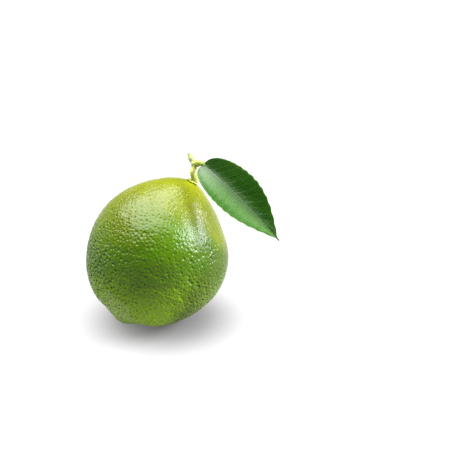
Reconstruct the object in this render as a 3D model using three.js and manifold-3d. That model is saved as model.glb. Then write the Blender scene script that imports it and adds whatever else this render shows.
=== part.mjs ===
// A whole lime with its calyx, a short forked stem, one petiole and one leaf.
// Millimetres, +Z up. The fruit leans on a small flat spot at its blossom end: the origin is
// on that spot, straight below the fruit's middle, and +X is the side its stem end leans to.
import * as THREE from "three";
import { mergeVertices } from "three/addons/utils/BufferGeometryUtils.js";
import Module from "manifold-3d";

// Driving dimensions: millimetres, and degrees where a name ends in DEG.
const GAP = 0.3; // left between neighbouring pieces

const FRUIT_RADIUS = 28.2; // of the round body, before its ends are drawn out
const FRUIT_LEAN_DEG = 29.5; // of the axis from upright, towards the stem end
const FRUIT_HEADING_DEG = 26.0; // of that lean in plan, from +X towards +Y
const FRUIT_ROLL_DEG = 148.5; // of the fuller side, about the fruit's own axis
const FRUIT_DETAIL = 18; // cuts along each edge of the icosahedron it is made from
const REST_HEIGHT = 27.5; // of the fruit's middle above the flat spot it rests on
const BODY_TILT_DEG = -12.5; // of the body's own taper from the axis
const BODY_TAPER = -1.43; // third zonal harmonic: fuller below the middle
const BODY_SQUARENESS = -0.26; // fourth zonal harmonic
const SHOULDER_RISE = 5.9; // swelling towards the stem
const SHOULDER_SPREAD = 0.518; // radians from the stem pole
const COLLAR_RISE = 0.6; // small raised seat of the calyx
const COLLAR_SPREAD = 0.17;
const NIPPLE_RISE = 1.75; // blunt tip at the blossom end
const NIPPLE_SPREAD = 0.145;
const NIPPLE_OFFSET = 0.037; // radians off the axis
const FURROW_DEPTH = 0.82; // ring-shaped hollow round the nipple
const FURROW_RADIUS = 0.368;
const FURROW_SPREAD = 0.138;
const PIT_COUNT = 620; // oil glands, fewer and wider than on the real skin
const PIT_DEPTH = 0.22;
const PIT_RADIUS = 1.25;

const CALYX_RADIUS = 1.95;
const CALYX_HEIGHT = 0.9;
const CALYX_LOBES = 5;
const CALYX_LOBE_DEPTH = 0.14; // share of the radius lost between two lobes

const STEM_RADIUS = 1.2;
const STEM_OFFSET = 0.3; // of the stem's foot on the calyx, from the axis
const STUB_RADIUS = 1.0;
const PETIOLE_RADIUS = 0.85;

const LEAF_LENGTH = 43.5;
const LEAF_HALF_WIDTH_NEAR = 8.9; // the half that turns to the fruit
const LEAF_HALF_WIDTH_FAR = 8.4;
const LEAF_THICKNESS = 0.7;
const LEAF_HEADING_DEG = -43.5; // of the midrib in plan, from +X towards +Y
const LEAF_DIP_DEG = 26.5; // of the midrib below level
const LEAF_ROLL_DEG = 33.0; // of the upper face about the midrib
const LEAF_RISE_NEAR_DEG = 12.8; // slope of the near half beside the midrib
const LEAF_RISE_EDGE_DEG = 36.2; // slope of the near half at its margin, where it curls up
const LEAF_RISE_FAR_DEG = 24.0; // slope of the far half
const LEAF_ARCH = 0.9; // of the midrib above the straight line between its ends
const LEAF_SWAY = 0.87; // of the midrib to the far side of that line
const LEAF_TEETH = 15; // rounded teeth along each margin
const LEAF_TOOTH_DEPTH = 0.28;
const MIDRIB_DEPTH = 0.45; // of the rib below the blade
const MIDRIB_HALF_WIDTH = 0.8;

const wasm = await Module();
wasm.setup();

// The geometry with shared vertices merged and nothing but positions left.
function bare(geometry) {
  const copy = geometry.clone();
  copy.deleteAttribute("normal");
  copy.deleteAttribute("uv");
  return mergeVertices(copy, 1e-4);
}

function solidOf(geometry) {
  const merged = bare(geometry);
  return new wasm.Manifold(
    new wasm.Mesh({
      numProp: 3,
      vertProperties: new Float32Array(merged.attributes.position.array),
      triVerts: new Uint32Array(merged.index.array),
    }),
  );
}

function geometryOf(solid) {
  const mesh = solid.getMesh();
  const geometry = new THREE.BufferGeometry();
  const positions = new Float32Array(mesh.numVert * 3);
  for (let i = 0; i < mesh.numVert; i += 1) {
    const start = i * mesh.numProp;
    positions.set(mesh.vertProperties.subarray(start, start + 3), i * 3);
  }
  geometry.setAttribute("position", new THREE.BufferAttribute(positions, 3));
  geometry.setIndex(new THREE.BufferAttribute(new Uint32Array(mesh.triVerts), 1));
  geometry.computeVertexNormals();
  return geometry;
}

// Moves every vertex to the place that the function gives for it.
function reshape(geometry, place) {
  const position = geometry.attributes.position;
  const vertex = new THREE.Vector3();
  for (let i = 0; i < position.count; i += 1) {
    vertex.fromBufferAttribute(position, i);
    const moved = place(vertex);
    position.setXYZ(i, moved.x, moved.y, moved.z);
  }
  return geometry;
}

const bump = (distance, spread) => Math.exp(-((distance / spread) ** 2));

// The way from the fruit's own frame, its axis along +Z, to the standing frame.
const standing = new THREE.Matrix4()
  .makeTranslation(0, 0, REST_HEIGHT)
  .multiply(new THREE.Matrix4().makeRotationZ(THREE.MathUtils.degToRad(FRUIT_HEADING_DEG)))
  .multiply(new THREE.Matrix4().makeRotationY(THREE.MathUtils.degToRad(FRUIT_LEAN_DEG)))
  .multiply(new THREE.Matrix4().makeRotationZ(THREE.MathUtils.degToRad(FRUIT_ROLL_DEG)));

// Distance from the fruit's middle to its skin along a direction in the fruit's own frame.
function fruitRadius(direction) {
  const tilt = THREE.MathUtils.degToRad(BODY_TILT_DEG);
  const c = direction.z * Math.cos(tilt) + direction.x * Math.sin(tilt);
  const third = (5 * c ** 3 - 3 * c) / 2;
  const fourth = (35 * c ** 4 - 30 * c ** 2 + 3) / 8;
  const fromStem = Math.acos(THREE.MathUtils.clamp(direction.z, -1, 1));
  const tip = new THREE.Vector3(Math.sin(NIPPLE_OFFSET), 0, -Math.cos(NIPPLE_OFFSET));
  const fromTip = direction.angleTo(tip);
  return (
    FRUIT_RADIUS +
    BODY_TAPER * third +
    BODY_SQUARENESS * fourth +
    SHOULDER_RISE * bump(fromStem, SHOULDER_SPREAD) +
    COLLAR_RISE * bump(fromStem, COLLAR_SPREAD) +
    NIPPLE_RISE * bump(fromTip, NIPPLE_SPREAD) -
    FURROW_DEPTH * bump(fromTip - FURROW_RADIUS, FURROW_SPREAD)
  );
}

// Directions of the oil glands, spread evenly along a spiral from pole to pole.
function pitDirections() {
  const turn = Math.PI * (3 - Math.sqrt(5));
  return Array.from({ length: PIT_COUNT }, (_, i) => {
    const z = 1 - (2 * i + 1) / PIT_COUNT;
    const ring = Math.sqrt(1 - z * z);
    const wander = 0.035 * Math.sin(12.9898 * i);
    const angle = turn * i + wander / Math.max(ring, 0.2);
    return new THREE.Vector3(ring * Math.cos(angle), ring * Math.sin(angle), z + 0.4 * wander).normalize();
  });
}

// The fruit's outer surface, grown outwards by an offset and with its skin pitted or smooth.
function fruitSurface(offset, detail, pitted) {
  const pits = pitted ? pitDirections() : [];
  const surface = bare(new THREE.IcosahedronGeometry(1, detail));
  return reshape(surface, (vertex) => {
    const direction = vertex.clone().normalize();
    const nearest = pits.reduce((best, pit) => Math.max(best, pit.dot(direction)), -1);
    const distance = Math.acos(Math.min(nearest, 1)) * FRUIT_RADIUS;
    const pit = pitted ? PIT_DEPTH * bump(distance, PIT_RADIUS) : 0;
    return direction.clone().multiplyScalar(fruitRadius(direction) + offset - pit);
  }).applyMatrix4(standing);
}

// The fruit in one piece, cut level where it rests.
function makeFruit() {
  const below = new THREE.BoxGeometry(120, 120, 40).translate(0, 0, -20);
  return geometryOf(solidOf(fruitSurface(0, FRUIT_DETAIL, true)).subtract(solidOf(below)));
}

// A point at a height over the stem pole and an offset from the axis, in the standing frame.
function aboveStemPole(height, offset = 0) {
  const pole = fruitRadius(new THREE.Vector3(0, 0, 1));
  return new THREE.Vector3(offset, 0, pole + height).applyMatrix4(standing);
}

// A shallow five-lobed cup that hugs the skin round the stem.
function makeCalyx() {
  const profile = [
    [0, -1.2],
    [0.55, -1.2],
    [0.98, -0.1],
    [1, 0.62],
    [0.93, 0.8],
    [0.74, 0.86],
    [0, 1],
  ].map(([r, z]) => new THREE.Vector2(r * CALYX_RADIUS, z * CALYX_HEIGHT));
  const cup = bare(new THREE.LatheGeometry(profile, CALYX_LOBES * 6)).rotateX(Math.PI / 2);
  reshape(cup, (vertex) => {
    const angle = Math.atan2(vertex.y, vertex.x);
    const lobe = 1 - CALYX_LOBE_DEPTH * (0.5 - 0.5 * Math.cos(CALYX_LOBES * angle));
    return new THREE.Vector3(vertex.x * lobe, vertex.y * lobe, vertex.z);
  });
  const pole = fruitRadius(new THREE.Vector3(0, 0, 1));
  cup.translate(0, 0, pole + GAP).applyMatrix4(standing);
  return geometryOf(solidOf(cup).subtract(solidOf(fruitSurface(GAP, 40, false))));
}

// A closed round rod along a curve, with the radius that a function gives for the way along it.
function rod(curve, radiusAt, steps, sides) {
  const rodGeometry = bare(new THREE.CylinderGeometry(1, 1, 1, sides, steps));
  const frames = curve.computeFrenetFrames(steps, false);
  return reshape(rodGeometry, (vertex) => {
    const along = 0.5 - vertex.y;
    const step = Math.round(along * steps);
    const radius = radiusAt(along);
    return curve
      .getPointAt(along)
      .addScaledVector(frames.normals[step], vertex.x * radius)
      .addScaledVector(frames.binormals[step], vertex.z * radius);
  });
}

function knob(centre, radius) {
  const ball = bare(new THREE.IcosahedronGeometry(radius, 3));
  return solidOf(ball.translate(centre.x, centre.y, centre.z));
}

const fork = new THREE.Vector3(15.7, 6.2, REST_HEIGHT + 37.0);
const stubTip = new THREE.Vector3(13.7, 8.6, REST_HEIGHT + 40.3);
const leafBase = new THREE.Vector3(18.7, 4.5, REST_HEIGHT + 37.8);

// The short woody stem with its cut stub and the swollen scars where it forks, grown by a gap.
function stemSolid(grown) {
  const trunk = new THREE.CatmullRomCurve3([
    aboveStemPole(CALYX_HEIGHT + 2 * GAP, STEM_OFFSET),
    aboveStemPole(CALYX_HEIGHT + 2 * GAP + 0.5, STEM_OFFSET),
    new THREE.Vector3(15.2, 5.8, REST_HEIGHT + 33.6),
    new THREE.Vector3(15.5, 6.0, REST_HEIGHT + 35.4),
    fork,
  ]);
  const stub = new THREE.CatmullRomCurve3([
    fork.clone().add(new THREE.Vector3(0.3, -0.3, -0.8)),
    new THREE.Vector3(14.6, 7.0, REST_HEIGHT + 38.5),
    stubTip,
  ]);
  const trunkRadius = (along) =>
    STEM_RADIUS * (1 + 0.18 * bump(along, 0.25) + 0.1 * bump(along - 1, 0.2)) + grown;
  const stubRadius = (along) =>
    STUB_RADIUS * (1 + 0.1 * Math.cos(9 * along) - 0.12 * along) + grown;
  return solidOf(rod(trunk, trunkRadius, 14, 16))
    .add(solidOf(rod(stub, stubRadius, 12, 14)))
    .add(knob(fork, STEM_RADIUS * 1.1 + grown))
    .add(knob(fork.clone().add(new THREE.Vector3(-0.75, -0.5, 0.4)), 0.75 + grown))
    .add(knob(fork.clone().add(new THREE.Vector3(0.9, -0.5, -0.5)), 0.75 + grown));
}

// The leaf stalk, from the fork to the swollen joint below the blade.
function makePetiole() {
  const middle = fork.clone().lerp(leafBase, 0.5).add(new THREE.Vector3(0, -0.1, 0.5));
  const curve = new THREE.QuadraticBezierCurve3(fork, middle, leafBase);
  const radiusAt = (along) => PETIOLE_RADIUS * (1.15 - 0.3 * along + 0.25 * bump(along - 0.93, 0.1));
  return geometryOf(solidOf(rod(curve, radiusAt, 16, 14)).subtract(stemSolid(GAP)));
}

// Half-width of the blade as a share of its widest place, for a share of the way to its tip.
const bladeOutline = (along) => (along ** 0.36 * (1 - along ** 2.6) ** 1.25) / 0.635;

const slope = (degrees) => Math.tan(THREE.MathUtils.degToRad(degrees));

// A point of the blade in the leaf's own frame: +X along the midrib, +Z out of its upper face.
function bladePoint(share, across, side) {
  const along = share ** 1.35;
  const teeth = 0.5 - 0.5 * Math.cos(2 * Math.PI * LEAF_TEETH * share);
  const inTeeth = THREE.MathUtils.smoothstep(along, 0.2, 0.45);
  const widest = across < 0 ? LEAF_HALF_WIDTH_NEAR : LEAF_HALF_WIDTH_FAR;
  const reach = Math.max(widest * bladeOutline(along) - LEAF_TOOTH_DEPTH * teeth * inTeeth, 0.35);
  const spread = Math.sign(across) * Math.abs(across) ** 1.35;
  const y = spread * reach;
  const rise = slope(across < 0 ? LEAF_RISE_NEAR_DEG : LEAF_RISE_FAR_DEG);
  const curl = across < 0 ? (slope(LEAF_RISE_EDGE_DEG) - rise) * reach * (spread ** 4 / 4) : 0;
  const lift = (Math.sqrt(y * y + 0.13) - Math.sqrt(0.13)) * rise + curl;
  const bow = 4 * along * (1 - along);
  const ripple = 0.2 * Math.sin(11 * along + 2 * Math.sign(across)) * spread ** 2;
  const rib = side < 0 ? MIDRIB_DEPTH * bump(y, MIDRIB_HALF_WIDTH) * (1 - 0.7 * along) : 0;
  const z = lift + LEAF_ARCH * bow + ripple + (side * LEAF_THICKNESS) / 2 - rib;
  return new THREE.Vector3(LEAF_LENGTH * along, y + LEAF_SWAY * bow, z);
}

function makeLeaf() {
  const blade = bare(new THREE.BoxGeometry(1, 2, 2, LEAF_TEETH * 4, 10, 1));
  return reshape(blade, (vertex) => bladePoint(vertex.x + 0.5, vertex.y, vertex.z));
}

function piece(name, geometry, colour, roughness) {
  const material = new THREE.MeshStandardMaterial({ color: colour, roughness, metalness: 0 });
  const mesh = new THREE.Mesh(geometry, material);
  mesh.name = name;
  return mesh;
}

const lime = new THREE.Group();
lime.add(
  piece("fruit", makeFruit(), 0x6f9a24, 0.38),
  piece("calyx", makeCalyx(), 0xb9b548, 0.7),
  piece("stem", geometryOf(stemSolid(0)), 0xb8ba62, 0.75),
  piece("petiole", makePetiole(), 0xb4c060, 0.6),
);

// The leaf hangs from the petiole's far end, turned as it grows there.
const twig = new THREE.Group();
twig.position.copy(leafBase);
twig.rotation.set(
  THREE.MathUtils.degToRad(LEAF_ROLL_DEG),
  THREE.MathUtils.degToRad(LEAF_DIP_DEG),
  THREE.MathUtils.degToRad(LEAF_HEADING_DEG),
  "ZYX",
);
const leaf = piece("leaf", makeLeaf(), 0x357a28, 0.4);
leaf.position.set(PETIOLE_RADIUS + GAP, 0, 0);
twig.add(leaf);
lime.add(twig);

export default lime;
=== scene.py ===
"""A whole lime with its calyx, stem, petiole and leaf, dressed over the solid model."""

import logging
import random
from collections import defaultdict
from dataclasses import dataclass
from enum import Enum
from functools import cached_property, partialmethod, reduce
from itertools import product
from math import acos, atan2, copysign, cos, exp, floor, hypot, pi, radians, sin, sqrt, tan, tau
from typing import Any, Callable, ClassVar, Optional, Union

import bmesh
import bpy
from mathutils import Matrix, Vector, kdtree, noise


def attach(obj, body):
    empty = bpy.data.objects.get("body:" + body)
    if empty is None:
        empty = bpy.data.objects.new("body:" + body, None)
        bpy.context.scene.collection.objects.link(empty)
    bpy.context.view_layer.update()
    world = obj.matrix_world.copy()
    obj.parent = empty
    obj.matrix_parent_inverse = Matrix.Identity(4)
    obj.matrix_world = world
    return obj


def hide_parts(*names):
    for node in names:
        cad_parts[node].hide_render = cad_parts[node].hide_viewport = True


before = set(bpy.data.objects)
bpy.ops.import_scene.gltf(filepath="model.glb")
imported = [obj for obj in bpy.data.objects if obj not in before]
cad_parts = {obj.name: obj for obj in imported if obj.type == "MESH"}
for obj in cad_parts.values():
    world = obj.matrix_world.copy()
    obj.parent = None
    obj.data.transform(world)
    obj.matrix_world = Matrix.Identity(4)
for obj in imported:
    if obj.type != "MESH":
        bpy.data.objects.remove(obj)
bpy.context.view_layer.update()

LOG = logging.getLogger("lime")
MM = 0.001
BODY = "root"
UP = (0.0, 0.0, 1.0)

# A Mix node's sockets for the share and the two colours, and the one with the result.
MIX_INPUTS, MIX_OUTPUT = (0, 6, 7), 2
MIX_SETTINGS = {"data_type": "RGBA", "clamp_factor": True}
SMOOTH_RAMP = {"interpolation_type": "SMOOTHSTEP", "clamp": True}
CELL_RANDOMNESS = 0.9

# The rings of a rod's caps, the fineness of a knob, and how a fused skin is evened out.
CAP_INSETS = (0.25, 0.3)
KNOB_CUTS = 3
SMOOTHINGS, SMOOTHING = 3, 0.5

Pair = tuple[float, float]
Triple = tuple[float, float, float]
Colour = tuple[float, float, float]
Gland = tuple[Vector, float]
Named = dict[Any, Any]
Mesh = bmesh.types.BMesh
Thing = bpy.types.Object


class Piece(Enum):
    """The lime's pieces: each one's solid and the slot of its finish."""

    FRUIT = ("fruit", "skin")
    CALYX = ("calyx", "calyx")
    STEM = ("stem", "stem")
    PETIOLE = ("petiole", "petiole")
    LEAF = ("leaf", "leaf")

    def __init__(self, node: str, slot: str) -> None:
        """Keep the names of the solid and the slot."""
        self.node, self.slot = node, slot


class BoxShape(Enum):
    """A softbox's outlines: the light's kind and the share of its oblong that it fills."""

    OBLONG = ("RECTANGLE", 1.0)
    OVAL = ("ELLIPSE", pi / 4)

    def __init__(self, kind: str, fill: float) -> None:
        """Keep the light's kind and the filled share."""
        self.kind, self.fill = kind, fill


@dataclass(frozen=True)
class Rise:
    """A smooth rise from 0 at low to top at high."""

    low: float
    high: float
    top: float = 1.0

    def at(self, value: float) -> float:
        """Return the height of the rise at a number."""
        share = min(max((value - self.low) / (self.high - self.low), 0.0), 1.0)
        return self.top * (share * share * (3.0 - 2.0 * share))


@dataclass(frozen=True)
class Swell:
    """A bell-shaped swelling: its height, its spread and where it peaks."""

    height: float
    spread: float
    peak: float = 0.0

    def at(self, place: float) -> float:
        """Return the height of the swelling at a place."""
        return self.height * exp(-(((place - self.peak) / self.spread) ** 2))


@dataclass(frozen=True)
class Dents:
    """Random unevenness of a mesh: how fine it is and how high."""

    pitch: float
    height: float

    def at(self, place: Vector) -> float:
        """Return the height of the unevenness at a place."""
        return noise.noise(place * self.pitch) * self.height


@dataclass(frozen=True)
class Lumps:
    """Soft noise in a material: its lumps' size in metres, detail and roughness."""

    size: float
    detail: float = 2.0
    roughness: float = 0.5


class Value:
    """A shader socket that takes part in Python arithmetic."""

    def __init__(self, graph: "Graph", socket: bpy.types.NodeSocket) -> None:
        """Wrap a socket of a graph's node."""
        self.graph, self.socket = graph, socket

    def _maths(self, operation: str, *others: "Number", last: bool = False) -> "Value":
        """Return the result of a Math node on self and others, self first or last."""
        given = (*others, self) if last else (self, *others)
        return self.graph.value("Math", {"operation": operation}, dict(enumerate(given)))

    __add__ = __radd__ = partialmethod(_maths, "ADD")
    __mul__ = __rmul__ = partialmethod(_maths, "MULTIPLY")
    __sub__ = partialmethod(_maths, "SUBTRACT")
    __rsub__ = partialmethod(_maths, "SUBTRACT", last=True)
    __abs__ = partialmethod(_maths, "ABSOLUTE")
    wave = partialmethod(_maths, "SINE")

    def rise(self, ramp: Rise) -> "Value":
        """Return the height of a rise at self."""
        ends = {"Value": self, "From Min": ramp.low, "From Max": ramp.high, "To Max": ramp.top}
        return self.graph.value("MapRange", SMOOTH_RAMP, ends)

    def toward(self, direction: Triple) -> "Value":
        """Return how far the vector self reaches in a direction."""
        fixed = tuple(Vector(direction).normalized())
        return self.graph.vector("DOT_PRODUCT", self, fixed, output="Value")


Number = Union[Value, float]


class Graph:
    """The nodes of one material or of the surroundings."""

    def __init__(self, owner: Union[bpy.types.Material, bpy.types.World]) -> None:
        """Take the owner's nodes and clear them.

        Args:
            owner: The material or world.
        """
        self.owner = owner
        owner.use_nodes = True
        self.tree = owner.node_tree
        self.tree.nodes.clear()

    def node(self, kind: str, settings: Named, inputs: Named) -> bpy.types.Node:
        """Add a node.

        Args:
            kind: The node's type, without ShaderNode before it.
            settings: Its properties, which are set first.
            inputs: A value, a Value or a socket for each input, by name or number.

        Returns:
            The new node.
        """
        node = self.tree.nodes.new("ShaderNode" + kind)
        for name, setting in settings.items():
            setattr(node, name, setting)
        for name, given in inputs.items():
            given = given.socket if isinstance(given, Value) else given
            if isinstance(given, bpy.types.NodeSocket):
                self.tree.links.new(given, node.inputs[name])
            else:
                node.inputs[name].default_value = given
        return node

    def value(self, kind: str, settings: Named, inputs: Named, output: Any = 0) -> Value:
        """Add a node and return one of its outputs as a Value."""
        return Value(self, self.node(kind, settings, inputs).outputs[output])

    def vector(self, operation: str, *given: Any, output: str = "Vector") -> Value:
        """Return the result of one Vector Math node."""
        settings = {"operation": operation}
        return self.value("VectorMath", settings, dict(enumerate(given)), output)

    def coordinates(self, kind: str) -> Value:
        """Return the shaded point's coordinates of one kind."""
        return self.value("TexCoord", {}, {}, kind)

    @cached_property
    def place(self) -> Value:
        """Return the place of the shaded point, in metres."""
        return self.coordinates("Object")

    def along_and_across(self) -> tuple[Value, Value]:
        """Return the two halves of the piece's own UV, each from 0 to 1."""
        split = self.node("SeparateXYZ", {}, {"Vector": self.coordinates("UV")})
        return Value(self, split.outputs["X"]), Value(self, split.outputs["Y"])

    def attribute(self, name: str) -> Value:
        """Return a number that the piece carries on its vertices."""
        return self.value("Attribute", {"attribute_name": name}, {}, "Fac")

    def noise(self, lumps: Lumps) -> Value:
        """Return soft noise from about 0 to 1."""
        inputs = {"Scale": 1.0 / lumps.size, "Detail": lumps.detail, "Roughness": lumps.roughness}
        return self.value("TexNoise", {}, {"Vector": self.place, **inputs}, "Fac")

    def cell_edges(self, size: float) -> Value:
        """Return the distance to the nearest edge between cells of a size in metres."""
        inputs = {"Vector": self.place, "Scale": 1.0 / size, "Randomness": CELL_RANDOMNESS}
        return self.value("TexVoronoi", {"feature": "DISTANCE_TO_EDGE"}, inputs)

    def mix(self, share: Number, first: Any, second: Any) -> Value:
        """Return a first colour with a share of a second; each may be a Value."""
        given = [(*c, 1.0) if isinstance(c, tuple) else c for c in (share, first, second)]
        return self.value("Mix", MIX_SETTINGS, dict(zip(MIX_INPUTS, given)), MIX_OUTPUT)

    def raised(self, height: Value, depth: float, **under: Value) -> Value:
        """Return the normal of a relief, its depth in metres, over the Normal under it."""
        inputs = {"Height": height, "Distance": depth, "Strength": 1.0, **under}
        return self.value("Bump", {}, inputs, "Normal")

    def closed(self, output: str, shader: str, inputs: Named) -> Any:
        """Give the owner a surface of one shader and return the owner."""
        self.node(output, {}, {"Surface": self.value(shader, {}, inputs)})
        return self.owner


class Finish:
    """A finish, which works out what its material's shader takes."""

    name: str

    def inputs(self, graph: Graph) -> Named:
        """Work out the shader's inputs in a graph."""
        raise NotImplementedError

    def material(self) -> bpy.types.Material:
        """Make the finish's material."""
        graph = Graph(bpy.data.materials.new(self.name))
        return graph.closed("OutputMaterial", "BsdfPrincipled", self.inputs(graph))


@dataclass(frozen=True)
class Zone:
    """A soft-edged part of the rind, on one side of the fruit."""

    side: Triple
    edge: Rise

    def mask(self, heading: Value, drift: Optional[Value] = None) -> Value:
        """Return the zone's mask for a heading from the middle, ragged by a drift."""
        aim = heading.toward(self.side)
        return (aim if drift is None else aim + drift).rise(self.edge)

    def share(self, direction: Vector) -> float:
        """Return how strong the zone is in a unit direction."""
        return self.edge.at(direction.dot(Vector(self.side).normalized()))


@dataclass(frozen=True)
class Tint(Zone):
    """A zone with its own colour and a ragged or an even edge."""

    colour: Colour
    ragged: bool = True


SHOULDER = (0.081, 0.088, 0.001)
BELLY_GREEN = (0.027, 0.066, 0.001)
# Olive of the underside, brighter than the rind's own tone: partly its olive hue, partly painted
# bounce light from the table.
OLIVE_WITH_PAINTED_BOUNCE = (0.262, 0.442, 0.004)
YELLOW = (0.085, 0.096, 0.001)
LEAF_SHADED = (0.045, 0.062, 0.001)
# Painted shade: dark green laid under the main highlight and on the lower right flank.
PAINTED_SHADE = (0.020, 0.036, 0.001)
# Painted light: a pale patch in the dip between the two highlights.
PAINTED_LIGHT_PATCH = (0.140, 0.168, 0.020)
# Painted reflection: the white table's pale grey sheen, low on the left.
PAINTED_TABLE_REFLECTION = (0.450, 0.430, 0.380)
# The nipple's tip, paler and greyer: partly its own tone, partly painted sheen.
NIPPLE_TONE_AND_SHEEN = (0.420, 0.500, 0.160)
UNDERSIDE = (0.032, -0.120, -0.992)


@dataclass(frozen=True)
class SkinFinish(Finish):
    """Waxy lime rind: yellow-green by the stem, deep green on the belly, olive below; with
    painted light and shade.
    """

    name: ClassVar[str] = "lime_skin"
    middle: Triple
    ground: Colour = SHOULDER
    tints: tuple[Tint, ...] = (
        Tint((0.325, -0.083, -0.942), Rise(-1.25, -0.41), BELLY_GREEN),
        # Olive below: partly its own hue, partly painted bounce light.
        Tint(UNDERSIDE, Rise(-0.18, 1.11), OLIVE_WITH_PAINTED_BOUNCE),
        Tint((0.45, 0.35, 0.82), Rise(0.50, 0.80, 0.7), SHOULDER),
        Tint((0.75, 0.40, 0.52), Rise(0.58, 0.82), YELLOW),
        Tint((0.82, -0.03, 0.57), Rise(0.93, 0.99, 0.7), LEAF_SHADED, ragged=False),
        # Painted light between the two highlights.
        Tint((0.47, -0.255, 0.845), Rise(0.970, 0.999, 0.2), PAINTED_LIGHT_PATCH, ragged=False),
        # Painted shade under the main highlight.
        Tint((-0.117, -0.488, 0.865), Rise(0.80, 0.98, 0.3), PAINTED_SHADE, ragged=False),
        # Painted shade on the lower right flank.
        Tint((0.85, -0.30, -0.45), Rise(0.60, 0.85, 0.72), PAINTED_SHADE),
        # Painted reflection of the table, low on the left.
        Tint((-0.47, -0.68, -0.56), Rise(0.93, 0.99, 0.10), PAINTED_TABLE_REFLECTION),
        # The nipple's tip: partly its own tone, partly painted sheen.
        Tint((-0.443, -0.216, -0.870), Rise(0.955, 0.995, 0.4), NIPPLE_TONE_AND_SHEEN, ragged=False),
    )
    wander: Lumps = Lumps(0.012, 3.0)
    drift: float = 0.3
    mottling: Lumps = Lumps(0.0032, 4.0, 0.6)
    mottled: Rise = Rise(0.35, 0.75, 0.14)
    # Painted shade in the pits: the rind is darkened where the glands sink in, more on the rugged
    # left and less below.
    pit_shade: Colour = (0.012, 0.030, 0.001)
    pit_shade_share: float = 0.15
    rugged_pit_shade: float = 0.09
    fainter_pit_shade: Zone = Zone(UNDERSIDE, Rise(-0.18, 1.11, 0.06))
    calm: Zone = Zone((0.55, -0.15, 0.80), Rise(0.35, 0.95, 0.6))
    still: Zone = Zone((0.62, -0.45, 0.64), Rise(0.92, 0.985))
    rugged: Zone = Zone((-0.92, -0.22, -0.30), Rise(0.35, 0.92))
    coarseness: float = 1.15
    still_calm: float = 0.3
    rugged_coarse: float = 0.95
    swelling: Lumps = Lumps(0.0024)
    swell: float = 0.0004
    pit: float = 0.00016
    graining: Lumps = Lumps(0.0006, 3.0, 0.6)
    grain: float = 0.00005
    roughness: float = 0.25
    gland_rough: float = 0.1
    still_rough: float = 0.06
    ior: float = 1.25

    def inputs(self, graph: Graph) -> Named:
        """Work out the shader's inputs.

        Args:
            graph: The material's graph.

        Returns:
            The inputs by name.
        """
        heading = graph.vector("NORMALIZE", graph.vector("SUBTRACT", graph.place, self.middle))
        drift = (graph.noise(self.wander) - 0.5) * self.drift
        colour: Any = self.ground
        for tint in self.tints:
            mask = tint.mask(heading, drift if tint.ragged else None)
            colour = graph.mix(mask, colour, tint.colour)
        colour = graph.mix(graph.noise(self.mottling).rise(self.mottled), colour, YELLOW)
        still, rugged = self.still.mask(heading), self.rugged.mask(heading)
        coarse = self.coarseness - self.calm.mask(heading) - still * self.still_calm
        coarse = coarse + rugged * self.rugged_coarse
        gland = graph.attribute("gland")
        pit_shade = self.pit_shade_share + rugged * self.rugged_pit_shade - self.fainter_pit_shade.mask(heading, drift)
        swell = graph.raised(graph.noise(self.swelling) * coarse, self.swell)
        pits = graph.raised((1.0 - gland) * coarse, self.pit, Normal=swell)
        return {
            # Painted shade in the pits.
            "Base Color": graph.mix(gland * pit_shade, colour, self.pit_shade),
            "Roughness": self.roughness + gland * self.gland_rough + still * self.still_rough,
            "Normal": graph.raised(graph.noise(self.graining), self.grain, Normal=pits),
            "IOR": self.ior,
        }


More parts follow.
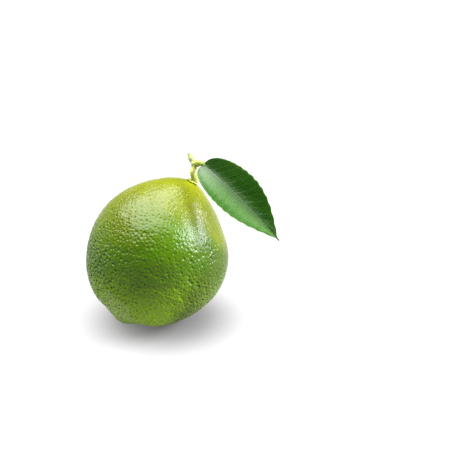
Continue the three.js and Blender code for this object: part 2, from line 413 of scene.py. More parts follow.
@dataclass(frozen=True)
class LeafFinish(Finish):
    """Waxy citrus leaf: deep green, lighter to its margins, with fine side veins."""

    name: ClassVar[str] = "lime_leaf"
    dark: Colour = (0.004, 0.022, 0.001)
    blade: Colour = (0.007, 0.032, 0.001)
    light: Colour = (0.017, 0.054, 0.004)
    rib: Colour = (0.030, 0.070, 0.008)
    margin: Colour = (0.050, 0.110, 0.012)
    back: Colour = (0.035, 0.072, 0.010)
    clouds: Lumps = Lumps(0.005, 4.0, 0.6)
    cloudy: Rise = Rise(0.3, 0.7)
    near_light: Rise = Rise(0.0, 0.50, 0.9)
    near_dark: Rise = Rise(0.55, 0.85, 0.8)
    far_light: Rise = Rise(0.5, 1.0, 0.2)
    veins: float = 15.0
    vein_lean: float = 0.17
    vein_bow: float = 0.03
    vein_bends: Lumps = Lumps(0.005)
    vein_wander: float = 0.03
    vein_line: Rise = Rise(0.6, 1.0)
    vein_inner: Rise = Rise(0.02, 0.35)
    net_size: float = 0.0011
    net_line: Rise = Rise(0.0, 0.14)
    midrib_line: Rise = Rise(0.012, 0.045)
    margin_line: Rise = Rise(0.965, 0.985, 0.6)
    upper_shares: Triple = (0.16, 0.08, 0.4)
    lower_shares: Triple = (0.35, 0.15, 0.4)
    vein_depth: float = 0.3
    net_relief: Rise = Rise(0.0, 0.3, 0.25)
    cloud_height: float = 0.4
    relief: float = 0.00012
    roughness: float = 0.28
    back_roughness: float = 0.25
    bloom: Rise = Rise(0.62, 1.0, 0.26)
    bloom_roughness: float = 0.28
    ior: float = 1.17

    def inputs(self, graph: Graph) -> Named:
        """Work out the shader's inputs.

        Args:
            graph: The material's graph.

        Returns:
            The inputs by name.
        """
        along, width = graph.along_and_across()
        far, near = width * 2.0 - 1.0, 1.0 - width * 2.0
        across = abs(far)
        vein = self._side_vein(along, across)
        net = graph.cell_edges(self.net_size)
        net_vein = 1.0 - net.rise(self.net_line)
        midrib = 1.0 - across.rise(self.midrib_line)
        cloud = graph.noise(self.clouds).rise(self.cloudy)
        tone = graph.mix(cloud, self.dark, self.blade)
        tone = graph.mix(near.rise(self.near_light), tone, self.light)
        tone = graph.mix(near.rise(self.near_dark), tone, self.blade)
        tone = graph.mix(far.rise(self.far_light), tone, self.light)
        on_vein, on_net, on_midrib = self.upper_shares
        tone = graph.mix(vein * on_vein + net_vein * on_net, tone, self.rib)
        tone = graph.mix(midrib * on_midrib, tone, self.rib)
        tone = graph.mix(across.rise(self.margin_line), tone, self.margin)
        on_vein, on_net, on_midrib = self.lower_shares
        ribbed = vein * on_vein + net_vein * on_net + midrib * on_midrib
        back = graph.mix(ribbed, self.back, self.margin)
        upper = graph.attribute("upper")
        height = (1.0 - vein) * self.vein_depth + net.rise(self.net_relief)
        height = height + (1.0 - midrib) * self.vein_depth + cloud * self.cloud_height
        return {
            "Base Color": graph.mix(upper, back, tone),
            "Roughness": self.roughness + (1.0 - upper) * self.back_roughness,
            "Coat Weight": (1.0 - along).rise(self.bloom) * upper,
            "Coat Roughness": self.bloom_roughness,
            "Normal": graph.raised(height, self.relief),
            "IOR": self.ior,
        }

    def _side_vein(self, along: Value, across: Value) -> Value:
        """Draw the side veins.

        Args:
            along: How far along the blade the shaded point is, from 0 to 1.
            across: How far from the midrib, from 0 to 1.

        Returns:
            1 on a vein and 0 between two.
        """
        wander = (along.graph.noise(self.vein_bends) - 0.5) * self.vein_wander
        lean = along - across * self.vein_lean + across * across * self.vein_bow + wander
        rungs = abs((lean * (pi * self.veins)).wave())
        return (1.0 - rungs).rise(self.vein_line) * (1.0 - across).rise(self.vein_inner)


@dataclass(frozen=True)
class BarkFinish(Finish):
    """Green twig bark: paler on one side with painted light, with olive streaks and brown corky
    specks.
    """

    name: str
    painted_light_side: Colour
    ground: Colour
    streak: Colour
    tip: Colour
    specks: float = 0.5
    roughness: float = 0.6
    speck: Colour = (0.0887, 0.0545, 0.0080)
    streaks: Lumps = Lumps(0.0008, 4.0, 0.65)
    streaked: Rise = Rise(0.35, 0.7, 0.7)
    tip_height: Rise = Rise(0.0635, 0.0665)
    corking: Lumps = Lumps(0.0008, 3.0, 0.6)
    corky: Rise = Rise(0.68, 0.85)
    scar_cork: float = 0.3
    cork_rough: float = 0.2
    cork_depth: float = 0.4
    graining: Lumps = Lumps(0.0005, 4.0, 0.7)
    grain: float = 0.00012
    ior: float = 1.25

    def inputs(self, graph: Graph) -> Named:
        """Work out the shader's inputs.

        Args:
            graph: The material's graph.

        Returns:
            The inputs by name.
        """
        # Painted light: the bark is paler on the side that faces front and left.
        colour = graph.mix(graph.attribute("painted_light_side"), self.ground, self.painted_light_side)
        colour = graph.mix(graph.noise(self.streaks).rise(self.streaked), colour, self.streak)
        colour = graph.mix(graph.place.toward(UP).rise(self.tip_height), colour, self.tip)
        scar = graph.attribute("scar") * self.scar_cork
        cork = (graph.noise(self.corking) + scar).rise(self.corky)
        height = graph.noise(self.graining) - cork * self.cork_depth
        return {
            "Base Color": graph.mix(cork * self.specks, colour, self.speck),
            "Roughness": self.roughness + cork * self.cork_rough,
            "Normal": graph.raised(height, self.grain),
            "IOR": self.ior,
        }


@dataclass(frozen=True)
class FloorFinish(Finish):
    """Plain matt white table that glows faintly, with a painted shadow: its glow is dimmer under
    the fruit.
    """

    name: ClassVar[str] = "table_white"
    tone: float = 0.05
    cloud_tone: float = 0.0505
    clouds: Lumps = Lumps(0.4)
    glow: float = 0.80
    shaded: float = 0.12
    shade_middle: Triple = (0.003, 0.0, 0.0)
    shade_edge: Rise = Rise(0.006, 0.041)
    roughness: float = 0.9
    gloss: float = 0.1

    def inputs(self, graph: Graph) -> Named:
        """Work out the shader's inputs.

        Args:
            graph: The material's graph.

        Returns:
            The inputs by name.
        """
        cloud = graph.noise(self.clouds)
        beside = graph.vector("SUBTRACT", graph.place, self.shade_middle)
        away = graph.vector("LENGTH", beside, output="Value").rise(self.shade_edge)
        return {
            "Base Color": graph.mix(cloud, (self.tone,) * 3, (self.cloud_tone,) * 3),
            "Roughness": self.roughness,
            "Specular IOR Level": self.gloss,
            # Painted shadow: the glow dims round the fruit.
            "Emission Color": graph.mix(away, (self.shaded,) * 3, (self.glow,) * 3),
            "Emission Strength": 1.0,
        }


def settle(mesh: Mesh, name: str) -> Thing:
    """Turn a finished bmesh into a smooth object in the scene.

    Args:
        mesh: The bmesh, in metres; it is freed.
        name: The object's name.

    Returns:
        The new object, at the origin.
    """
    bmesh.ops.recalc_face_normals(mesh, faces=mesh.faces)
    data = bpy.data.meshes.new(name)
    mesh.to_mesh(data)
    mesh.free()
    data.shade_smooth()
    thing = bpy.data.objects.new(name, data)
    bpy.context.scene.collection.objects.link(thing)
    return thing


def fused(shapes: list[Mesh], voxel: float) -> Mesh:
    """Fuse overlapping closed shapes into one skin.

    Args:
        shapes: The shapes, in metres, which are used up.
        voxel: The grid of the new skin, in metres.

    Returns:
        The skin.
    """
    bundle = bmesh.new()
    for shape in shapes:
        part = settle(shape, "shape").data
        bundle.from_mesh(part)
        bpy.data.meshes.remove(part)
    rough = settle(bundle, "rough")
    remesh = rough.modifiers.new("fuse", "REMESH")
    remesh.mode = "VOXEL"
    remesh.voxel_size = voxel
    evaluated = rough.evaluated_get(bpy.context.evaluated_depsgraph_get())
    skin = bmesh.new()
    skin.from_mesh(evaluated.to_mesh())
    bpy.data.meshes.remove(rough.data)
    axes = {"use_axis_x": True, "use_axis_y": True, "use_axis_z": True}
    for _ in range(SMOOTHINGS):
        bmesh.ops.smooth_vert(skin, verts=skin.verts, factor=SMOOTHING, **axes)
    bmesh.ops.recalc_face_normals(skin, faces=skin.faces)
    return skin


def placed(place: Any, turns: tuple[tuple[float, str], ...]) -> Matrix:
    """Return the matrix that turns about axes and then moves to a place."""
    turned = (Matrix.Rotation(angle, 4, axis) for angle, axis in turns)
    return reduce(Matrix.__matmul__, turned, Matrix.Translation(place))


def spline(path: list[Vector], steps: int) -> list[Vector]:
    """Space points along a smooth curve.

    Args:
        path: The points that the curve passes.
        steps: How many steps the curve is cut into.

    Returns:
        The points, one more than the steps.
    """
    ends = [path[0] * 2 - path[1], *path, path[-1] * 2 - path[-2]]
    spans = len(path) - 1
    points = []
    for step in range(steps + 1):
        way = step * spans / steps
        span = min(int(way), spans - 1)
        t = way - span
        a, b, c, d = ends[span : span + 4]
        bend = (a * 2 - b * 5 + c * 4 - d) * t**2 + (b * 3 - a - c * 3 + d) * t**3
        points.append((b * 2 + (c - a) * t + bend) * 0.5)
    return points


def rod(
    path: list[Vector], radius: Callable[[float], float], steps: int = 30, sides: int = 24
) -> Mesh:
    """Make a closed round rod along a smooth path.

    Args:
        path: Points that the rod's middle passes, in metres.
        radius: The rod's radius, in metres, for a share of the way along it.
        steps: How many rings the rod is cut into.
        sides: How many sides it has.

    Returns:
        The rod.
    """
    mesh = bmesh.new()
    bmesh.ops.create_cone(
        mesh, cap_ends=True, cap_tris=False, segments=sides, radius1=1.0, radius2=1.0, depth=1.0
    )
    upright = [e for e in mesh.edges if abs(e.verts[0].co.z - e.verts[1].co.z) > 0.5]
    bmesh.ops.subdivide_edges(mesh, edges=upright, cuts=steps - 1, use_grid_fill=True)
    caps = [f for f in mesh.faces if len(f.verts) > 4]
    for inset in CAP_INSETS:
        bmesh.ops.inset_region(mesh, faces=caps, thickness=inset, use_even_offset=True)
    points = spline(path, steps)
    across = Vector((1.0, 0.0, 0.0))
    rings = []
    for index, point in enumerate(points):
        along = (points[min(index + 1, steps)] - points[max(index - 1, 0)]).normalized()
        across = (across - along * across.dot(along)).normalized()
        rings.append((point, across, along.cross(across)))
    for vertex in mesh.verts:
        x, y, share = vertex.co.x, vertex.co.y, vertex.co.z + 0.5
        point, first, second = rings[round(share * steps)]
        vertex.co = point + (first * x + second * y) * radius(share)
    return mesh


def knob(centre: Vector, radius: float) -> Mesh:
    """Make a small round knob of the bark.

    Args:
        centre: Its middle, in mm.
        radius: Its radius, in mm.

    Returns:
        The knob, in metres.
    """
    ball = bmesh.new()
    place = Matrix.Translation(centre * MM)
    bmesh.ops.create_icosphere(ball, subdivisions=KNOB_CUTS, radius=radius * MM, matrix=place)
    return ball


class Part:
    """A part of the lime, which is built and then dressed."""

    piece: ClassVar[Piece]
    finish: Finish

    def build(self) -> Thing:
        """Make the part as an object at the origin."""
        raise NotImplementedError

    def dress(self, thing: Thing) -> None:
        """Give the built part its finish and its place in the frame.

        Args:
            thing: The part's object.
        """
        thing.data.materials.append(self.finish.material())
        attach(thing, BODY)
        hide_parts(self.piece.node)


@dataclass
class Fruit(Part):
    """The fruit's form in mm, in its own frame with the axis along +Z, and how it stands."""

    piece: ClassVar[Piece] = Piece.FRUIT
    radius: float = 28.2
    lean: float = radians(29.5)
    heading: float = radians(26.0)
    roll: float = radians(148.5)
    rest_height: float = 27.5
    body_tilt: float = radians(-12.5)
    taper: float = -1.43
    squareness: float = -0.26
    shoulder: Swell = Swell(5.9, 0.518)
    collar: Swell = Swell(0.6, 0.17)
    nipple: Swell = Swell(1.75, 0.145)
    nipple_offset: float = 0.037
    furrow: Swell = Swell(-0.82, 0.138, 0.368)
    cuts: int = 127
    seed: int = 7
    tries: int = 60000
    gland_gap: float = 1.3
    gland_sizes: Pair = (0.5, 1.3)
    gland_spread: float = 0.38
    gland_depth: float = 0.16
    coarse: float = 1.15
    coarser_below: float = 0.45
    coarse_patches: Dents = Dents(6.0, 0.7)
    rugged: Zone = Zone((-0.93, -0.26, -0.24), Rise(0.25, 0.92, 0.5))
    still: Zone = Zone((0.62, -0.45, 0.64), Rise(0.9016, 0.9867, 0.5))
    wide_lumps: Dents = Dents(5.0, 0.14)
    small_lumps: Dents = Dents(15.0, 0.08)

    @property
    def finish(self) -> SkinFinish:
        """Return the rind's finish."""
        return SkinFinish(tuple(self.middle))

    @cached_property
    def standing(self) -> Matrix:
        """Return the way from the fruit's own frame to the standing one."""
        turns = ((self.heading, "Z"), (self.lean, "Y"), (self.roll, "Z"))
        return placed(Vector(UP) * self.rest_height, turns)

    @property
    def middle(self) -> Vector:
        """Return the middle of the standing fruit, in metres."""
        return self.stand(Vector())

    def reach(self, direction: Vector) -> float:
        """Work out how far out the smooth skin is.

        Args:
            direction: A unit direction in the fruit's own frame.

        Returns:
            The distance from the middle, in mm.
        """
        c = direction.z * cos(self.body_tilt) + direction.x * sin(self.body_tilt)
        from_stem = acos(max(-1.0, min(1.0, direction.z)))
        tip = Vector((sin(self.nipple_offset), 0.0, -cos(self.nipple_offset)))
        from_tip = acos(max(-1.0, min(1.0, direction.dot(tip))))
        # Legendre's third and fourth polynomials taper and square a sphere.
        return (
            self.radius
            + self.taper * (5 * c**3 - 3 * c) / 2
            + self.squareness * (35 * c**4 - 30 * c**2 + 3) / 8
            + self.shoulder.at(from_stem)
            + self.collar.at(from_stem)
            + self.nipple.at(from_tip)
            + self.furrow.at(from_tip)
        )

    def stand(self, point: Vector) -> Vector:
        """Return a point of the fruit's own frame, in mm, as a standing one in metres."""
        return (self.standing @ point) * MM

    def over_skin(self, from_stem: float, turn: float, height: float) -> Vector:
        """Find a point over the standing skin near the stem.

        Args:
            from_stem: Distance over the skin from the stem pole, in mm.
            turn: Angle about the axis, in radians.
            height: Height over the skin, in mm.

        Returns:
            The point, in metres.
        """
        angle = from_stem / self.reach(Vector(UP))
        ring = sin(angle)
        direction = Vector((ring * cos(turn), ring * sin(turn), cos(angle)))
        return self.stand(direction * (self.reach(direction) + height))

    def glands(self) -> list[Gland]:
        """Strew the oil glands over the skin, no two of them too close.

        Returns:
            The unit direction and the size of each.
        """
        draw = random.Random(self.seed)
        gap = self.gland_gap / self.radius
        widest = self.gland_sizes[1] * gap
        grid: dict[tuple[int, ...], list[Gland]] = defaultdict(list)
        found = []
        for _ in range(self.tries):
            z = draw.uniform(-1.0, 1.0)
            turn = draw.uniform(-pi, pi)
            size = draw.uniform(*self.gland_sizes)
            ring = sqrt(1.0 - z * z)
            point = Vector((ring * cos(turn), ring * sin(turn), z))
            cell = [floor(c / widest) for c in point]
            around = product(*((c - 1, c, c + 1) for c in cell))
            close = (gland for key in around for gland in grid.get(key, ()))
            if all((o - point).length > gap * (s + size) / 2 for o, s in close):
                grid[tuple(cell)].append((point, size))
                found.append((point, size))
        return found

    def coarseness(self, direction: Vector, turned: Vector) -> float:
        """Return how deep the pits are in a direction, given in both frames."""
        depth = self.coarse - self.coarser_below * direction.z + self.coarse_patches.at(direction)
        return (depth + self.rugged.share(turned)) * (1.0 - self.still.share(turned))

    def build(self) -> Thing:
        """Make the pitted fruit as one closed skin with a level spot where it rests.

        Returns:
            The fruit.
        """
        mesh = bmesh.new()
        bmesh.ops.create_cube(mesh, size=2.0)
        bmesh.ops.subdivide_edges(mesh, edges=mesh.edges, cuts=self.cuts, use_grid_fill=True)
        glands = self.glands()
        LOG.info("skin: %d glands", len(glands))
        tree = kdtree.KDTree(len(glands))
        for index, (direction, _) in enumerate(glands):
            tree.insert(direction, index)
        tree.balance()
        layer = mesh.verts.layers.float.new("gland")
        turn = self.standing.to_3x3()
        for vertex in mesh.verts:
            direction = Vector([tan(c * pi / 4) for c in vertex.co]).normalized()
            _, index, gap = tree.find(direction)
            size = glands[index][1]
            coarse = self.coarseness(direction, turn @ direction)
            pit = Swell(size * coarse, self.gland_spread * size).at(gap * self.radius)
            lump = self.wide_lumps.at(direction) + self.small_lumps.at(direction) * coarse
            reach = self.reach(direction) + lump - self.gland_depth * pit
            vertex.co = self.stand(direction * reach)
            vertex.co.z = max(vertex.co.z, 0.0)
            vertex[layer] = pit
        return settle(mesh, "lime_fruit")


@dataclass
class Calyx(Part):
    """The five-lobed cup that hugs the skin round the stem, in mm."""

    piece: ClassVar[Piece] = Piece.CALYX
    finish: ClassVar[Finish] = BarkFinish(
        name="calyx_bark",
        painted_light_side=(0.20, 0.21, 0.03),
        ground=(0.17, 0.185, 0.03),
        streak=(0.13, 0.13, 0.01),
        tip=(0.17, 0.18, 0.03),
        specks=0.35,
        roughness=0.65,
    )
    fruit: Fruit
    radius: float = 2.5
    height: float = 0.95
    steps: int = 90
    profile: tuple[Pair, ...] = (
        *((0.02, 1.05), (0.55, 1.0), (0.8, 0.82), (0.95, 0.6), (1.0, 0.42)),
        *((0.96, 0.22), (0.8, 0.02), (0.4, 0.0), (0.02, 0.0)),
    )
    lobes: int = 5
    waist: float = 0.84
    lobe_reach: float = 0.2
    lobe_point: float = 0.8
    lobe_fall: float = 0.25
    lobe_curl: float = 0.1
    torn: Dents = Dents(3.0, 0.05)
    torn_layer: float = 4.0

    def build(self) -> Thing:
        """Spin the cup's profile, close it and lay it on the skin.

        Returns:
            The calyx.
        """
        mesh = bmesh.new()
        chain = [mesh.verts.new((out, 0.0, height)) for out, height in self.profile]
        line = [*chain, *(mesh.edges.new(pair) for pair in zip(chain, chain[1:]))]
        turn = {"cent": (0, 0, 0), "axis": UP, "angle": tau, "steps": self.steps}
        bmesh.ops.spin(mesh, geom=line, use_merge=True, **turn)
        bmesh.ops.holes_fill(mesh, edges=[e for e in mesh.edges if e.is_boundary], sides=0)
        for vertex in mesh.verts:
            vertex.co = self._on_skin(vertex.co)
        return settle(mesh, "lime_calyx")

    def _on_skin(self, place: Vector) -> Vector:
        """Draw the round cup out into lobes that lie on the skin.

        Args:
            place: A place on the round cup.

        Returns:
            Its place on the lobed one, in metres.
        """
        turn = atan2(place.y, place.x)
        out = hypot(place.x, place.y)
        lobe = 0.5 + 0.5 * cos(self.lobes * turn)
        torn = self.torn.at(Vector((cos(turn), sin(turn), self.torn_layer)))
        reach = self.waist + self.lobe_reach * lobe**self.lobe_point + torn
        height = place.z * self.height * (1.0 - self.lobe_fall * lobe * out**2)
        height += self.lobe_curl * lobe * out**4
        return self.fruit.over_skin(out * self.radius * reach, turn, height)


@dataclass
class Twig(Part):
    """A piece of twig whose bark is lumpy, paler on one side with painted light, and scarred, in
    mm.
    """

    voxel: float
    lump: float
    lump_pitch: float = 1.6
    lump_octaves: tuple[float, float, int] = (1.0, 2.0, 4)
    scar: Swell = Swell(1.0, 0.7)
    # The side facing this way, front and left, is painted paler: painted light standing in for
    # fill light from the front.
    painted_light_facing: Triple = (-0.75, -0.60, -0.25)
    painted_light_edge: Rise = Rise(-0.25, 0.65)

    def grow(self, name: str, shapes: list[Mesh], scars: list[Vector]) -> Thing:
        """Fuse shapes, raise small lumps and mark the scars and the side with painted light.

        Args:
            name: The twig's name.
            shapes: Its closed shapes, in metres, which are used up.
            scars: The middle of each scar, in mm.

        Returns:
            The twig.
        """
        mesh = fused(shapes, self.voxel * MM)
        mesh.normal_update()
        scar = mesh.verts.layers.float.new("scar")
        painted_light_side = mesh.verts.layers.float.new("painted_light_side")
        painted_light_facing = Vector(self.painted_light_facing)
        for vertex in mesh.verts:
            place = vertex.co / MM
            lump = noise.fractal(place * self.lump_pitch, *self.lump_octaves) * self.lump
            vertex[scar] = max(self.scar.at((place - middle).length) for middle in scars)
            # Painted light: how far each vertex faces the paler side.
            vertex[painted_light_side] = self.painted_light_edge.at(vertex.normal.dot(painted_light_facing))
            vertex.co += vertex.normal * (lump * MM)
        return settle(mesh, name)


@dataclass(kw_only=True)
class Stem(Twig):
    """The woody stem with its cut stub, scars and buds, in mm."""

    piece: ClassVar[Piece] = Piece.STEM
    finish: ClassVar[Finish] = BarkFinish(
        name="stem_bark",
        painted_light_side=(0.50, 0.545, 0.17),
        ground=(0.22, 0.245, 0.06),
        streak=(0.24, 0.26, 0.05),
        tip=(0.18, 0.21, 0.07),
    )
    fruit: Fruit
    voxel: float = 0.11
    lump: float = 0.07
    fork: Triple = (15.7, 6.2, 64.5)
    foot_offset: float = 0.3
    foot_heights: Pair = (0.7, 1.6)
    trunk: tuple[Triple, ...] = ((15.0, 5.8, 61.1), (15.4, 6.0, 62.9))
    radius: float = 1.22
    foot_swell: Swell = Swell(0.34, 0.38)
    fork_swell: Swell = Swell(0.12, 0.2, 1.0)
    stub: tuple[Triple, ...] = ((16.0, 5.9, 63.7), (14.6, 7.0, 66.0), (13.7, 8.6, 67.8))
    stub_radius: float = 1.18
    stub_unevenness: float = 0.08
    stub_waves: float = 11.0
    stub_taper: float = 0.1
    stub_cuts: tuple[int, int] = (24, 20)
    knobs: tuple[tuple[Triple, float], ...] = (
        ((0.0, 0.0, 0.0), 1.3),
        ((-0.75, -0.5, 0.4), 0.8),
        ((0.85, -0.75, -0.45), 0.62),
        ((1.35, -0.8, -0.35), 0.6),
        ((-0.2, -1.05, 0.75), 0.45),
        ((0.0, -1.0, -0.75), 0.5),
    )
    scars: tuple[Triple, ...] = ((-0.3, -0.9, 0.2), (1.0, -0.8, -0.2))

    def trunk_radius(self, share: float) -> float:
        """Return the trunk's radius in metres, swollen at its foot and at the fork."""
        return self.radius * MM * (1 + self.foot_swell.at(share) + self.fork_swell.at(share))

    def stub_width(self, share: float) -> float:
        """Return the stub's radius in metres, a little uneven and thinner at its cut."""
        uneven = self.stub_unevenness * cos(self.stub_waves * share)
        return self.stub_radius * MM * (1 + uneven - self.stub_taper * share)

    def build(self) -> Thing:
        """Fuse the trunk, the stub and the knobs of the fork into one skin.

        Returns:
            The stem.
        """
        foot = [self.fruit.over_skin(self.foot_offset, pi, h) for h in self.foot_heights]
        trunk = [*foot, *(Vector(point) * MM for point in (*self.trunk, self.fork))]
        stub = [Vector(point) * MM for point in self.stub]
        fork = Vector(self.fork)
        shapes = [rod(trunk, self.trunk_radius), rod(stub, self.stub_width, *self.stub_cuts)]
        shapes += [knob(fork + Vector(offset), radius) for offset, radius in self.knobs]
        return self.grow("lime_stem", shapes, [fork + Vector(scar) for scar in self.scars])


@dataclass(kw_only=True)
class Petiole(Twig):
    """The leaf stalk, swollen at the fork and where it joins the blade, in mm."""

    piece: ClassVar[Piece] = Piece.PETIOLE
    finish: ClassVar[Finish] = BarkFinish(
        name="petiole_bark",
        painted_light_side=(0.26, 0.32, 0.06),
        ground=(0.15, 0.19, 0.03),
        streak=(0.12, 0.16, 0.02),
        tip=(0.14, 0.18, 0.03),
        specks=0.4,
        roughness=0.5,
    )
    fork: Triple
    voxel: float = 0.1
    lump: float = 0.03
    leaf_base: Triple = (18.7, 4.5, 65.3)
    starts: float = 0.12
    bow: Triple = (0.0, -0.1, 0.3)
    into_rib: Triple = (0.85, -0.80, -0.58)
    radius: float = 0.85
    thick_start: float = 1.75
    joint: Swell = Swell(0.3, 0.12, 0.74)

    def width(self, share: float) -> float:
        """Return the stalk's radius in metres at a share of its length."""
        return self.radius * MM * (self.thick_start - share + self.joint.at(share))

    def build(self) -> Thing:
        """Make the stalk from inside the fork to just inside the blade.

        Returns:
            The petiole.
        """
        fork, base = Vector(self.fork), Vector(self.leaf_base)
        middle = fork.lerp(base, 0.5) + Vector(self.bow)
        path = [fork.lerp(base, self.starts), middle, base, base + Vector(self.into_rib)]
        stalk = rod([point * MM for point in path], self.width)
        return self.grow("lime_petiole", [stalk], [base])


@dataclass
class Leaf(Part):
    """The blade, in mm, in its own frame: +X along the midrib, +Z out of its upper face."""

    piece: ClassVar[Piece] = Piece.LEAF
    finish: ClassVar[Finish] = LeafFinish()
    base: Triple
    joint: float = 0.6
    length: float = 44.05
    near_half: float = 9.1
    far_half: float = 8.6
    least_half: float = 0.25
    base_roundness: float = 0.36
    tip_onset: float = 2.6
    tip_sharpness: float = 1.25
    outline_peak: float = 0.635
    thickness: float = 0.42
    thin_margin: Rise = Rise(0.9, 1.0, 0.45)
    heading: float = radians(-43.5)
    dip: float = radians(26.5)
    roll: float = radians(33.0)
    near_slope: float = tan(radians(15.0))
    edge_slope: float = tan(radians(40.0))
    far_slope: float = tan(radians(28.3))
    curl_power: int = 4
    crease: float = 0.8
    crease_opening: Rise = Rise(0.05, 0.45, 1.3)
    arch: float = 0.9
    sway: float = 0.87
    teeth: int = 15
    tooth_depth: float = 0.28
    toothed: Rise = Rise(0.12, 0.4)
    rib: Swell = Swell(0.45, 0.7)
    rib_taper: float = 0.7
    groove: Swell = Swell(0.06, 0.3)
    ripple: float = 0.2
    ripple_pitch: float = 11.0
    ripple_shift: float = 2.0
    quilt: float = 0.025
    quilt_rows: float = 7.5
    quilt_lean: float = 0.16
    rows_a_tooth: int = 14
    columns: int = 72
    row_power: float = 1.35
    column_power: float = 1.15

    @cached_property
    def hanging(self) -> Matrix:
        """Return the way from the leaf's own frame to where it hangs."""
        turns = ((self.heading, "Z"), (self.dip, "Y"), (self.roll, "X"))
        return placed(self.base, turns) @ Matrix.Translation((self.joint, 0.0, 0.0))

    def half_width(self, share: float, across: float) -> float:
        """Work out how far one margin of the blade is from the midrib.

        Args:
            share: Place along the blade's rows, 0 at its base and 1 at its tip.
            across: Below 0 for the near margin.

        Returns:
            The half-width, in mm, with its teeth.
        """
        along = share**self.row_power
        tip = max(1.0 - along**self.tip_onset, 0.0) ** self.tip_sharpness
        outline = along**self.base_roundness * tip / self.outline_peak
        widest = self.near_half if across < 0 else self.far_half
        tooth = 0.5 - 0.5 * cos(tau * self.teeth * share)
        cut = self.tooth_depth * tooth * self.toothed.at(along)
        return max(widest * outline - cut, self.least_half)

    def fold(self, along: float, y: float, reach: float) -> float:
        """Work out how far the fold lifts the blade, which curls up at its near margin.

        Args:
            along: Place along the midrib, from 0 to 1.
            y: Distance from the midrib, below 0 on the near side.
            reach: The half-width there.

        Returns:
            The lift, in mm.
        """
        crease = self.crease + self.crease_opening.at(along)
        slope = self.near_slope if y < 0 else self.far_slope
        lift = (hypot(y, crease) - crease) * slope
        if y < 0:
            curl = (y / reach) ** self.curl_power / self.curl_power
            lift += (self.edge_slope - slope) * reach * curl
        return lift

    def blade_point(self, share: float, across: float, side: float) -> Vector:
        """Place a point of the blade.

        Args:
            share: Place along the blade's rows, 0 at its base and 1 at its tip.
            across: Place across it, from -1 on the near margin to 1 on the far one.
            side: 1 on the upper face and -1 on the lower.

        Returns:
            The hanging point, in metres.
        """
        along = share**self.row_power
        spread = copysign(abs(across) ** self.column_power, across)
        reach = self.half_width(share, across)
        y = spread * reach
        bow = 4 * along * (1 - along)
        turn = self.ripple_pitch * along + copysign(self.ripple_shift, across)
        ripple = self.ripple * sin(turn) * spread**2
        row = self.quilt_rows * (along - self.quilt_lean * abs(spread))
        quilt = self.quilt * sin(tau * row) * (1 - spread**2) * self.toothed.at(along)
        below = self.rib.at(y) * (1 - self.rib_taper * along)
        sunk = self.groove.at(y) if side > 0 else below
        half = self.thickness / 2 * (1.0 - self.thin_margin.at(abs(across)))
        z = self.fold(along, y, reach) + self.arch * bow + ripple + quilt + side * half - sunk
        return (self.hanging @ Vector((self.length * along, y + self.sway * bow, z))) * MM

    def build(self) -> Thing:
        """Make the blade as one closed thin solid with a UV map.

        Returns:
            The leaf.
        """
        mesh = bmesh.new()
        uv = mesh.loops.layers.uv.new("blade")
        upper = mesh.verts.layers.float.new("upper")
        rows = self.teeth * self.rows_a_tooth
        bmesh.ops.create_grid(mesh, x_segments=rows, y_segments=self.columns, size=1.0)
        shell = bmesh.ops.extrude_face_region(mesh, geom=list(mesh.faces))
        raised = {v for v in shell["geom"] if isinstance(v, bmesh.types.BMVert)}
        for vertex in mesh.verts:
            share, across = (vertex.co.x + 1) / 2, vertex.co.y
            for loop in vertex.link_loops:
                loop[uv].uv = (share**self.row_power, (across + 1) / 2)
            side = 1.0 if vertex in raised else -1.0
            vertex[upper] = max(side, 0.0)
            vertex.co = self.blade_point(share, across, side)
        return settle(mesh, "lime_leaf")


@dataclass(frozen=True)
class Softbox:
    """A flat light aimed at the fruit, its size and distance in metres."""

    name: str
    shape: BoxShape
    direction: Triple
    along: Triple
    width: float
    height: float
    radiance: float
    distance: float

    def build(self, target: Vector) -> None:
        """Hang the light so that it faces the fruit.

        Args:
            target: The fruit's middle.
        """
        light = bpy.data.lights.new(self.name, "AREA")
        light.shape = self.shape.kind
        light.size, light.size_y = self.width, self.height
        light.energy = self.radiance * pi * self.width * self.height * self.shape.fill
        lamp = bpy.data.objects.new(self.name, light)
        toward = Vector(self.direction).normalized()
        lamp.location = target + toward * self.distance
        along = Vector(self.along)
        across = (along - toward * along.dot(toward)).normalized()
        axes = (across, toward.cross(across), toward)
        lamp.rotation_euler = Matrix(axes).transposed().to_euler()
        bpy.context.scene.collection.objects.link(lamp)


OVERHEAD = Softbox(
    name="overhead",
    shape=BoxShape.OBLONG,
    direction=(-0.194, 0.120, 1.0),
    along=(1.0, 0.0, 0.0),
    width=1.78,
    height=1.72,
    radiance=17.3,
    distance=1.42,
)
RIGHT = Softbox(
    name="right",
    shape=BoxShape.OVAL,
    direction=(0.862, 0.03, 0.505),
    along=(-0.15, -0.66, 0.31),
    width=0.64,
    height=0.46,
    radiance=76.0,
    distance=1.0,
)


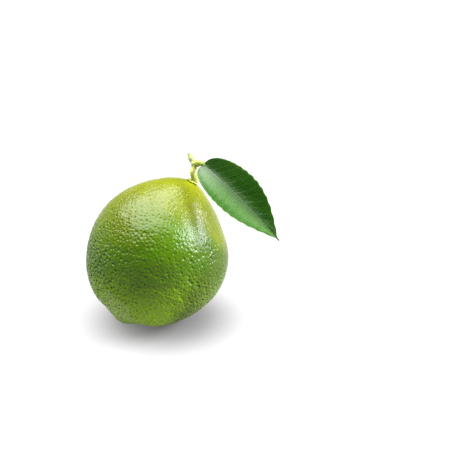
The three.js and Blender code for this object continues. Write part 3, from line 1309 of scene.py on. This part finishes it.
@dataclass
class Studio:
    """Camera, table, room and lights."""

    middle: Vector
    elevation: float = radians(25.0)
    aim: Triple = (0.02810, 0.01172, 0.4278)
    lens: float = 85.0
    sensor: float = 36.0
    nearest: float = 0.01
    table_half: float = 6.0
    table_cuts: int = 4
    dim_side: Triple = (-0.15, -0.75, 0.65)
    dim: Rise = Rise(0.5, 0.9)
    skyline: Rise = Rise(0.08, 0.26)
    dim_level: float = 0.06
    room_level: float = 0.12
    skyline_level: float = 0.85
    lights: tuple[Softbox, ...] = (OVERHEAD, RIGHT)

    def camera(self) -> None:
        """Set up the camera, which looks down from the front."""
        up = Vector((0.0, sin(self.elevation), cos(self.elevation)))
        back = Vector((0.0, -cos(self.elevation), sin(self.elevation)))
        data = bpy.data.cameras.new("camera")
        data.lens, data.sensor_width, data.clip_start = self.lens, self.sensor, self.nearest
        camera = bpy.data.objects.new("camera", data)
        right, above, away = self.aim
        camera.location = self.middle + Vector((right, 0.0, 0.0)) + up * above + back * away
        camera.rotation_euler = (pi / 2 - self.elevation, 0.0, 0.0)
        bpy.context.scene.collection.objects.link(camera)
        bpy.context.scene.camera = camera

    def table(self) -> None:
        """Lay the pale table."""
        mesh = bmesh.new()
        cuts = {"x_segments": self.table_cuts, "y_segments": self.table_cuts}
        bmesh.ops.create_grid(mesh, size=self.table_half, **cuts)
        table = settle(mesh, "table")
        table.data.materials.append(FloorFinish().material())

    def room(self) -> None:
        """Make the room: pale all round, dim high up behind the camera."""
        graph = Graph(bpy.data.worlds.new("room"))
        heading = graph.coordinates("Generated")
        dim = heading.toward(self.dim_side).rise(self.dim)
        high = graph.mix(dim, (self.room_level,) * 3, (self.dim_level,) * 3)
        lift = heading.toward(UP).rise(self.skyline)
        colour = graph.mix(lift, (self.skyline_level,) * 3, high)
        inputs = {"Color": colour, "Strength": 1.0}
        bpy.context.scene.world = graph.closed("OutputWorld", "Background", inputs)

    def build(self) -> None:
        """Set up everything round the fruit."""
        self.camera()
        self.table()
        self.room()
        bpy.context.scene.view_settings.view_transform = "Standard"
        for light in self.lights:
            light.build(self.middle)


def main() -> None:
    """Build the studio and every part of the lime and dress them."""
    logging.basicConfig(level=logging.INFO, format="%(name)s %(message)s")
    fruit = Fruit()
    Studio(fruit.middle).build()
    stem = Stem(fruit=fruit)
    petiole = Petiole(fork=stem.fork)
    for part in (fruit, Calyx(fruit), stem, petiole, Leaf(petiole.leaf_base)):
        thing = part.build()
        part.dress(thing)
        LOG.info("%s: %d faces", thing.name, len(thing.data.polygons))


if __name__ == "__main__":
    main()
